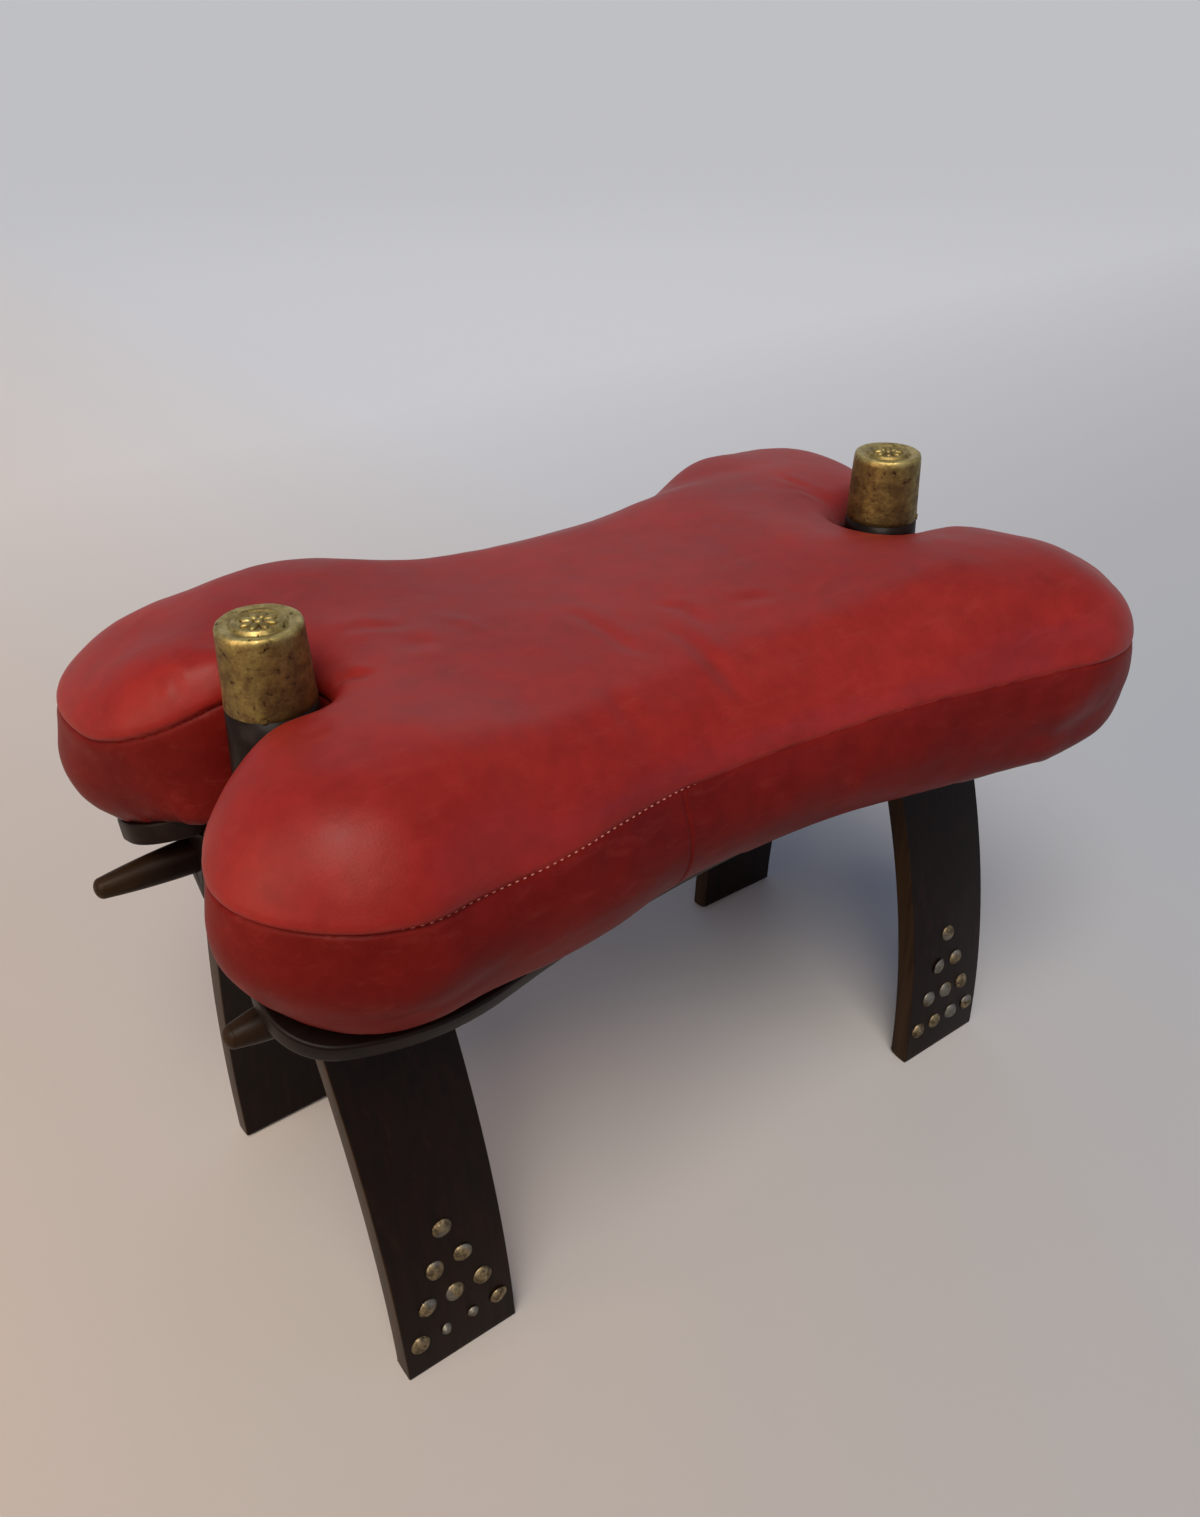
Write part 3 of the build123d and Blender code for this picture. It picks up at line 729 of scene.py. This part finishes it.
for end in ends:
    foot_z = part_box(f"{end}_cap")[0].z
    cap = corner_copy(cap_pattern, f"{end}_cap_turned", end, "back")
    cap.data.transform(Matrix.Translation((0, 0, foot_z - cap_foot_z)))
    mark_rubbed(cap, foot_z, ends[end] * post_x)
    dented(cap, cap_dent, cap_dent_size)
    smooth_by_angle(cap, cap_shading_angle)
    dress(cap, cap_brass, "frame", [f"{end}_cap"])
bpy.data.objects.remove(cap_pattern)

# %% [markdown]
# ## Red leather
#
# The cover is vegetable tanned goat skin, dyed red and waxed. It gives a deep red that goes browner where the
# dye lies thick, a satin sheen, fine grain that only shows up close, and pale scuffs where the wax has worn.
# The dye changes over 110 mm and is blotched over 17 mm, the scuffs are strokes of 8 by 33 mm, and the grain's
# cells are about 1 mm, drawn a little coarser than real so that they show.


# %% Red leather
scuff = "#a84a3e"


def red_leather(name, deep, plain, bright, gloss):
    """Dyed and waxed leather between three tones of red, with paler scuffs."""
    made, tree, shader, place = material(name)
    shades = node(tree, "TexNoise", Vector=place, Scale=9, Detail=4, Roughness=0.5).outputs["Fac"]
    blotches = node(tree, "TexNoise", Vector=place, Scale=60, Detail=5, Roughness=0.65).outputs["Fac"]
    dye = node(tree, ramp, stops=((0.3, deep), (0.5, plain), (0.72, bright)), Fac=shades).outputs[0]
    mottle = node(tree, ramp, stops=((0.3, "#dccac4"), (0.7, "#ffffff")), Fac=blotches).outputs[0]
    toned = node(tree, "Mix", colour_multiply, i0=0.8, i6=dye, i7=mottle)
    drag = node(tree, "Mapping", Vector=place, Rotation=(0.3, 0.2, 0.6), Scale=(0.25, 1, 1)).outputs[0]
    strokes = node(tree, "TexNoise", Vector=drag, Scale=120, Detail=7, Roughness=0.68, Distortion=0.6).outputs["Fac"]
    scuffed = node(tree, ramp, stops=((0.54, "#000000"), (0.78, "#707070")), Fac=strokes).outputs[0]
    worn = node(tree, "Mix", colour_mix, i0=scuffed, i6=toned.outputs[2], i7=linear(scuff))
    cells = node(tree, "TexVoronoi", {"feature": "SMOOTH_F1"}, Vector=place, Scale=900, Smoothness=0.6)
    pulls = node(tree, "TexNoise", Vector=place, Scale=260, Detail=4, Distortion=1.2).outputs["Fac"]
    relief = node(tree, "Math", multiply_add, i0=pulls, i1=0.8, i2=cells.outputs["Distance"])
    bump = node(tree, "Bump", Strength=0.22, Distance=0.25 * mm, Height=relief.outputs[0])
    waxed = node(tree, "MapRange", Value=blotches, To_Min=0.37, To_Max=0.53)
    fill(shader, Base_Color=worn.outputs[2], Roughness=waxed.outputs[0], Normal=bump.outputs[0])
    fill(shader, IOR=1.48, Specular_IOR_Level=gloss)
    return made


# One red leather in three copies: the band's darker tones are painted shade, because the band turns away from the
# light above, and the bottom panel's are darker still, as painted shade under the cushion
top_leather = red_leather("waxed_red_leather_top", "#851b15", "#901f18", "#9c261d", gloss=0.25)
band_leather = red_leather("waxed_red_leather_band_in_painted_shade", "#611310", "#6e1712", "#7e1c15", gloss=0.08)
base_leather = red_leather("unwaxed_red_leather_base_in_painted_shade", "#4e1411", "#591713", "#651b16", gloss=0.2)

# %% [markdown]
# The seam is sewn by hand with a waxed linen thread, which has taken up some of the dye. Its strands are 0.7 mm
# apart and twisted too finely to show, so they are only a change of tone.

# %% Thread
thread, tree, shader, place = material("waxed_linen_thread")
strands = node(tree, "TexNoise", Vector=place, Scale=1500, Detail=3).outputs["Fac"]
flax = node(tree, ramp, stops=((0.35, "#b0584a"), (0.65, "#dc9684")), Fac=strands)
fill(shader, Base_Color=flax.outputs[0], Roughness=0.6)

# %% [markdown]
# ## Cushion
#
# The cushion is a stuffed leather cover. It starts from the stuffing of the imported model, which is a little
# smaller than the cover, as an even net of small faces, because a cloth wants faces of one size.

# %% Net of the cover
net_size = 5 * mm
cover = cad_copy("cushion_cover", "cushion_foam")
activate(cover)
cover.data.remesh_voxel_size = net_size
bpy.ops.object.voxel_remesh()
print("cushion net", len(cover.data.polygons), "faces")


def places(piece, what="co"):
    """The places of a piece's vertices, or another of their vectors, as rows of an array."""
    found = np.empty(len(piece.data.vertices) * 3)
    piece.data.vertices.foreach_get(what, found)
    return found.reshape(-1, 3)


def outward(piece):
    """A piece's vertex normals as rows of an array."""
    return places(piece, "normal")


def put(piece, rows):
    """Moves a piece's vertices to the rows of an array."""
    piece.data.vertices.foreach_set("co", np.asarray(rows, float).ravel())
    piece.data.update()


def eased(share):
    """A share between nought and one that starts and ends gently."""
    share = np.clip(share, 0, 1)
    return share * share * (3 - 2 * share)


# %% [markdown]
# The seam between the top panel and the side band runs nearly level round the cushion, but climbs towards the
# posts, where the notch pulls the leather up, and sags a little at the near left lobe. A function of the place
# gives its height, and everything that follows the seam is measured from it.

# %% Where the seam runs
seam_z = 355 * mm
seam_pitch = math.radians(2.0)
climb = 45 * mm
climb_reach = 110 * mm
climb_steepness = 1.3
sag, sag_reach, sag_x, sag_y = 4.2 * mm, 115 * mm, -180 * mm, -130 * mm


def above_seam(rows):
    """How far each row lies above the seam."""
    x, y = rows[:, 0], rows[:, 1]
    near_post = 1 - np.hypot(np.abs(x) - post_x, y) / climb_reach
    pulled_up = climb * np.clip(near_post, 0, 1) ** climb_steepness
    sagging = sag * eased(1 - np.hypot(x - sag_x, y - sag_y) / sag_reach)
    return rows[:, 2] - (seam_z - x * math.tan(seam_pitch) + pulled_up - sagging)


print("seam at", round(seam_z / mm), "mm")

# %% [markdown]
# Air pressure in a cloth simulation fills the cover out, as stuffing does. What lies on the boards and stands
# round the posts is pinned, because the frame holds it there, and no point may move further than a limit.

# %% Air in the cover
swell_limit = 5 * mm
air_frames = 20
notch_hold = 36 * mm
facing_down = -0.6
cloth_settings = {
    "quality": 6,
    "mass": 0.4,
    "tension_stiffness": 30,
    "compression_stiffness": 30,
    "bending_stiffness": 2,
    "use_pressure": True,
    "uniform_pressure_force": 4.0,
    "vertex_group_mass": "held",
}


def swell(piece):
    """Fills a closed net with air, and lets no point move further than the limit."""
    start, normals = places(piece), outward(piece)
    by_post = np.hypot(np.abs(start[:, 0]) - post_x, start[:, 1]) < notch_hold
    held = piece.vertex_groups.new(name="held")
    held.add([int(i) for i in np.flatnonzero((normals[:, 2] < facing_down) | by_post)], 1.0, "ADD")
    activate(piece)
    cloth = piece.modifiers.new("air", "CLOTH").settings
    for setting, value in cloth_settings.items():
        setattr(cloth, setting, value)
    cloth.effector_weights.gravity = 0
    for number in range(1, air_frames + 1):
        bpy.context.scene.frame_set(number)
    bpy.ops.object.modifier_apply(modifier="air")
    move = places(piece) - start
    length = np.linalg.norm(move, axis=1, keepdims=True)
    print("swells by", round(float(length.max()) / mm, 1), "mm before the limit")
    put(piece, start + move * np.minimum(1, swell_limit / np.maximum(length, 1e-9)))
    piece.vertex_groups.clear()


swell(cover)

# %% [markdown]
# A smoothing pass takes the last steps of the net away, and one subdivision halves its faces. The whole cover
# then moves out by the thickness of the leather.

# %% Smooth and finer
leather_thickness = 1.6 * mm
smoothing_passes, smoothing_share = 12, 0.5
activate(cover)
soften = cover.modifiers.new("soften", "SMOOTH")
soften.iterations = smoothing_passes
soften.factor = smoothing_share
bpy.ops.object.modifier_apply(modifier="soften")
finer = cover.modifiers.new("finer", "SUBSURF")
finer.levels = finer.render_levels = 1
bpy.ops.object.modifier_apply(modifier="finer")
put(cover, places(cover) + outward(cover) * leather_thickness)
print("cover", len(cover.data.polygons), "faces")

# %% [markdown]
# No two lobes of a hand stuffed cushion are alike. A few soft pushes, each at a place with a reach and a move,
# give every lobe its own fullness, as a thumb does in clay. The front shoulder of the waist falls off gently,
# because people slide down there from the seat. The lowest part is then filled out until it lies on the
# boards, over a height that fades upwards, and nothing may go below the boards' top faces.

# %% Each lobe's own fullness
# Each push's place, reach and move, in millimetres
pushes = [
    ((-288, 138, 390), 105, (-2, 1, -15)),
    ((-205, 160, 380), 60, (0, 0, -6)),
    ((-262, 122, 400), 70, (0, 0, -4)),
    ((-288, 62, 318), 55, (8, 0, 6)),
    ((-150, 122, 388), 85, (0, 0, 11)),
    ((185, 155, 385), 65, (0, 0, 9)),
    ((305, -62, 385), 70, (0, 0, -8)),
    ((292, -128, 388), 50, (-2, 1, -4)),
    ((255, -172, 305), 50, (-3, 8, 6)),
    ((-140, -120, 335), 85, (0, -6, -3)),
    ((325, -105, 362), 45, (6, 0, 0)),
    ((318, -100, 325), 50, (-5, 0, 2)),
    ((-293, -105, 340), 60, (-5, 1, 0)),
]
board_top_middle = 335.7 * mm
board_slope = math.tan(math.radians(20))
board_inner_top = 315.2 * mm
fullness_height = 34 * mm
fullness_waist, fullness_lobe = 3 * mm, 8 * mm
waist_from, waist_over = 40 * mm, 110 * mm
post_gap, post_gap_over = 40 * mm, 25 * mm
clear_of_boards = 0.4 * mm
shoulder_drop, shoulder_from, shoulder_over, shoulder_height = 9 * mm, 5 * mm, 135 * mm, 45 * mm
shoulder_half_length, shoulder_end = 195 * mm, 80 * mm


def pushed(rows, place, reach, move):
    """Rows near a place, moved along with a soft thumb."""
    away = np.linalg.norm(rows - np.array(place) * mm, axis=1) / (reach * mm)
    return rows + eased(1 - away)[:, None] * np.array(move) * mm


def seat_height(rows):
    """Height of the boards' top faces, and of the level gap between them, under each row."""
    return np.minimum(board_inner_top, board_top_middle - board_slope * np.abs(rows[:, 1]))


rows, normals = places(cover), outward(cover)
for place, reach, move in pushes:
    rows = pushed(rows, place, reach, move)
waist = eased((shoulder_half_length - np.abs(rows[:, 0])) / shoulder_end)
to_front = eased((shoulder_from - rows[:, 1]) / shoulder_over)
rows[:, 2] -= shoulder_drop * to_front * eased(above_seam(rows) / shoulder_height) * waist
low = eased(1 - (rows[:, 2] - seat_height(rows)) / fullness_height)
by_post = eased((np.hypot(np.abs(rows[:, 0]) - post_x, rows[:, 1]) - post_gap) / post_gap_over)
share = eased((np.abs(rows[:, 0]) - waist_from) / waist_over)
sideways = normals[:, 1] ** 2 / np.maximum(normals[:, 0] ** 2 + normals[:, 1] ** 2, 1e-6)
fullness = (fullness_waist + (fullness_lobe - fullness_waist) * share) * low * by_post * sideways
rows += normals * fullness[:, None]
rows[:, 2] = np.maximum(rows[:, 2], seat_height(rows) + clear_of_boards)
put(cover, rows)
print(len(pushes), "pushes, and a fullness of up to", round(fullness.max() / mm, 1), "mm")

# %% [markdown]
# For a crisp seam the net needs edges that run along it. The cover is warped so that the seam lies in one
# level plane, the bisect operator cuts it there and at a few levels beside it, and the warp is taken back.
# The band is two strips, which meet at the waist, once on the front and once on the back, and there the net
# gets upright cuts.

# %% Edges along the seam
seam_levels = [level * mm for level in (-11, -6.5, -3.4, -1.3, 0, 1.3, 3.4, 6.5, 11)]
joints = {-1: -68 * mm, 1: 74 * mm}
joint_levels = [level * mm for level in (-5, -2.6, -1.1, 0, 1.1, 2.6, 5)]
joint_reach, joint_from_y = 20 * mm, 90 * mm
cut_merge_reach = 0.05 * mm


def by_joint(face, side, joint_x):
    """Whether a face of the warped cover belongs to its band and is near a joint."""
    x, y, z = face.calc_center_median()
    return y * side > joint_from_y and abs(x - joint_x) < joint_reach and z < 0


rows = places(cover)
rows[:, 2] = above_seam(rows)
put(cover, rows)
with editing(cover):
    for level in seam_levels:
        bpy.ops.mesh.select_all(action="SELECT")
        bpy.ops.mesh.bisect(plane_co=(0, 0, level), plane_no=(0, 0, 1))
    for side, joint_x in joints.items():
        for level in joint_levels:
            pick(cover, "FACE", lambda face: by_joint(face, side, joint_x))
            bpy.ops.mesh.bisect(plane_co=(joint_x + level, 0, 0), plane_no=(1, 0, 0))
    bpy.ops.mesh.select_all(action="SELECT")
    bpy.ops.mesh.remove_doubles(threshold=cut_merge_reach)
rows = places(cover)
flat = rows.copy()
flat[:, 2] = 0
rows[:, 2] -= above_seam(flat)
put(cover, rows)
print("cover with its cuts", len(cover.data.polygons), "faces")

# %% [markdown]
# The seam itself is a narrow groove, because the thread pulls both edges in, and the leather beside it stands
# up in a soft roll, more on the stuffed top than on the band. Where the stuffing is loose the leather creases:
# tight ones at the notches, and long soft ones across the middle where people sit.

# %% Groove, rolls and creases
groove_depth, lobe_groove_depth = 0.8 * mm, 0.7 * mm
groove_width = 0.9 * mm
seam_reach = 0.09 * mm
top_roll, top_roll_width = 1.0 * mm, 5 * mm
lobe_roll, lobe_roll_width = 1.6 * mm, 7 * mm
lobe_from_x, lobe_over = 150 * mm, 80 * mm
band_roll, band_roll_width = 0.5 * mm, 6 * mm
joint_depth, joint_width, joint_fade = 0.9 * mm, 0.8 * mm, 3 * mm
joint_roll, joint_roll_width = 0.35 * mm, 2.5 * mm
bottom_facing = -0.75
crease_from, crease_over = 6 * mm, 10 * mm
lumps_over = 12 * mm
# Each crease's course from above, half width and depth, in millimetres. The depth is negative for a ridge
creases = [
    ([(-191, 1), (-189, -11), (-184, -19), (-179, -29)], 3.4, 2.3),
    ([(-181, 17), (-169, 27), (-157, 28), (-140, 19), (-117, 25)], 4.5, 1.1),
    ([(-159, -5), (-141, -5), (-125, -9)], 7.5, 1.4),
    ([(-115, 29), (-103, 6), (-100, -21)], 4.5, -0.7),
    ([(-54, -4), (-44, -18), (-43, -35), (-41, -61), (-31, -82)], 5.0, 1.2),
    ([(-16, -36), (-7, -68), (-8, -90), (-9, -113), (-11, -130)], 5.5, 1.9),
    ([(0, -24), (12, -41), (14, -74)], 4.5, 1.0),
    ([(-80, -80), (-80, -112), (-74, -132)], 6.5, 1.0),
    ([(36, -50), (56, -56), (72, -61)], 5.0, 1.0),
    ([(-244, -67), (-231, -64), (-216, -57)], 4.5, 0.7),
    ([(203, 84), (206, 62), (216, 34)], 5.0, 1.5),
    ([(190, 62), (202, 50), (214, 31)], 4.0, 1.1),
    ([(-258, 62), (-254, 47), (-251, 34)], 3.6, -0.9),
    ([(-263, 54), (-264, 45), (-262, 36)], 3.2, -0.8),
    ([(-272, 56), (-273, 48), (-271, 40)], 3.2, -0.7),
]
# The lumps' sizes and heights, in millimetres
lump_sizes = ((75, 1.5), (30, 0.5), (12, 0.16))
crease_end, crease_lip = 2.2, 0.3


def crease(rows, course, half_width, depth):
    """How far each row sinks into one crease, seen from above."""
    best = np.full(len(rows), 1e9)
    where = np.zeros(len(rows))
    points = np.array(course) * mm
    for i, (start, end) in enumerate(zip(points[:-1], points[1:])):
        run = end - start
        share = np.clip(((rows[:, :2] - start) @ run) / (run @ run), 0, 1)
        away = np.linalg.norm(rows[:, :2] - start - share[:, None] * run, axis=1)
        where = np.where(away < best, (i + share) / (len(points) - 1), where)
        best = np.minimum(best, away)
    width = half_width * mm
    valley = np.exp(-((best / width) ** 2)) - crease_lip * np.exp(-(((best - 2 * width) / width) ** 2))
    return valley * depth * mm * eased(crease_end * where) * eased(crease_end * (1 - where))


def lumps(rows):
    """Gentle unevenness of the stuffing under the leather."""
    total = np.zeros(len(rows))
    for size, height in lump_sizes:
        total += height * mm * np.array([noise.noise(Vector(row) / (size * mm)) for row in rows])
    return total


def swelling(beside, height, width):
    """A soft roll beside a seam."""
    return height * beside / width * np.exp(1 - beside / width)


rows, normals = places(cover), outward(cover)
lift = above_seam(rows)
beside = np.abs(lift)
on_seam = np.flatnonzero(beside < seam_reach)
left_lobe_end = eased((-rows[:, 0] - lobe_from_x) / lobe_over)
roll = np.where(
    lift > 0,
    swelling(beside, top_roll, top_roll_width) + left_lobe_end * swelling(beside, lobe_roll, lobe_roll_width),
    swelling(beside, band_roll, band_roll_width),
)
move = roll - (groove_depth + lobe_groove_depth * left_lobe_end) * np.exp(-((beside / groove_width) ** 2))
for side, joint_x in joints.items():
    off = np.abs(rows[:, 0] - joint_x)
    here = (rows[:, 1] * side > joint_from_y) * eased(-lift / joint_fade) * (normals[:, 2] > bottom_facing)
    raised = swelling(off, joint_roll, joint_roll_width)
    move += here * (raised - joint_depth * np.exp(-((off / joint_width) ** 2)))
on_top = eased((lift - crease_from) / crease_over) * eased(normals[:, 2] * 1.6)
for course, half_width, depth in creases:
    move -= crease(rows, course, half_width, depth) * on_top
uneven = eased(beside / lumps_over) * eased((rows[:, 2] - seat_height(rows)) / lumps_over)
move += lumps(rows) * uneven
put(cover, rows + normals * move[:, None])
print(len(creases), "creases")

# %% [markdown]
# Along the seam the thread shows as a row of short stitches, about 4.5 mm apart. The points of the seam are
# put in order round the cushion, and copies of one small bead of thread are set along them, so that the
# stitches lie exactly in the groove. They stand out where the leather is pulled most, at the front on the
# left, and have sunk in elsewhere.

# %% Stitches in the groove
stitch_pitch = 4.5 * mm
stitch_size = np.array([1.1, 0.42, 0.42]) * mm
stitch_rise, sunk_stitch_rise = 0.45 * mm, -0.45 * mm
stitch_look_ahead = 1.5 * mm
shown_from_x, shown_from_over = -250 * mm, 25 * mm
shown_to_x, shown_to_over = -50 * mm, 30 * mm
longest_gap = 9 * mm


def in_order(points):
    """The order in which points follow each other along one closed line."""
    order, free, heading = [0], np.ones(len(points), bool), np.zeros(3)
    while True:
        here = points[order[-1]]
        free[order[-1]] = False
        away = np.linalg.norm(points - here, axis=1)
        onward = free & (away < longest_gap) & ((points - here) @ heading >= 0)
        if not onward.any():
            return order
        step = int(np.argmin(np.where(onward, away, np.inf)))
        heading = points[step] - here
        order.append(step)


rows, normals = places(cover)[on_seam], outward(cover)[on_seam]
order = in_order(rows)
rows, normals = rows[order], normals[order]
along = np.concatenate([[0], np.cumsum(np.linalg.norm(np.diff(rows, axis=0), axis=1))])
print("seam", round(along[-1] / mm), "mm long, through", len(order), "of", len(on_seam), "points")
bpy.ops.mesh.primitive_uv_sphere_add(segments=8, ring_count=5, radius=1)
bead = bpy.context.object
bead_points = places(bead) * stitch_size
bead_faces = [tuple(face.vertices) for face in bead.data.polygons]
bpy.data.objects.remove(bead)
points, faces = [], []
for distance in np.arange(0, along[-1], stitch_pitch):
    place, run, out = (
        np.array([np.interp(distance + ahead, along, values[:, axis]) for axis in range(3)])
        for values, ahead in ((rows, 0), (rows, stitch_look_ahead), (normals, 0))
    )
    run = run - place
    run /= max(np.linalg.norm(run), 1e-9)
    out /= np.linalg.norm(out)
    across = np.cross(out, run)
    before_end = eased((shown_to_x - place[0]) / shown_to_over)
    after_start = eased((place[0] - shown_from_x) / shown_from_over)
    pulled = before_end * after_start * (place[1] < 0)
    middle = place + out * (sunk_stitch_rise + (stitch_rise - sunk_stitch_rise) * pulled)
    first = len(points)
    points += [tuple(middle + p[0] * run + p[1] * across + p[2] * out) for p in bead_points]
    faces += [tuple(first + i for i in face) for face in bead_faces]
stitch_mesh = bpy.data.meshes.new("seam_stitches")
stitch_mesh.from_pydata(points, [], faces)
stitches = new_piece("seam_stitches", stitch_mesh)
activate(stitches)
bpy.ops.object.shade_smooth()
dress(stitches, thread, "cushion")
print(len(faces) // len(bead_faces), "stitches")

# %% [markdown]
# The real cover is three panels, with stuffing behind them, so the finished net is split in three: what lies on
# the boards is the bottom panel, what is above the seam the top panel, and the rest the band. Each gets its own
# copy of the red leather, and the band's and the bottom panel's darker tones are painted shade.

# %% Three panels
bottom_gap = 4.5 * mm
underside_facing = -0.5


def on_boards(face):
    """Whether a face of the cover lies on the boards or over the gap between them."""
    middle = face.calc_center_median()
    return face.normal.z < underside_facing and middle.z - seat_height(np.array([middle]))[0] < bottom_gap


def over_seam(face):
    """Whether a face of the cover belongs to its top panel."""
    return above_seam(np.array([face.calc_center_median()]))[0] > 0


def split_off(piece, name, test):
    """Cuts the faces that pass a test off as a piece of their own."""
    with editing(piece):
        pick(piece, "FACE", test)
        bpy.ops.mesh.separate(type="SELECTED")
    part = [each for each in bpy.context.selected_objects if each is not piece][0]
    part.name = part.data.name = name
    return part


under = split_off(cover, "cushion_underside", on_boards)
top = split_off(cover, "cushion_top", over_seam)
cover.name = cover.data.name = "cushion_band"
for piece, finish, slot, nodes in (
    (top, top_leather, "top_leather", ["cushion_top_panel", "cushion_foam"]),
    (cover, band_leather, "band_leather", ["cushion_side_band"]),
    (under, base_leather, "base_leather", ["cushion_bottom_panel"]),
):
    activate(piece)
    bpy.ops.object.shade_smooth()
    dress(piece, finish, "cushion", nodes)

# %% [markdown]
# Last, the box round all that was made is measured.

# %% Box of what was made
low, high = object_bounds()
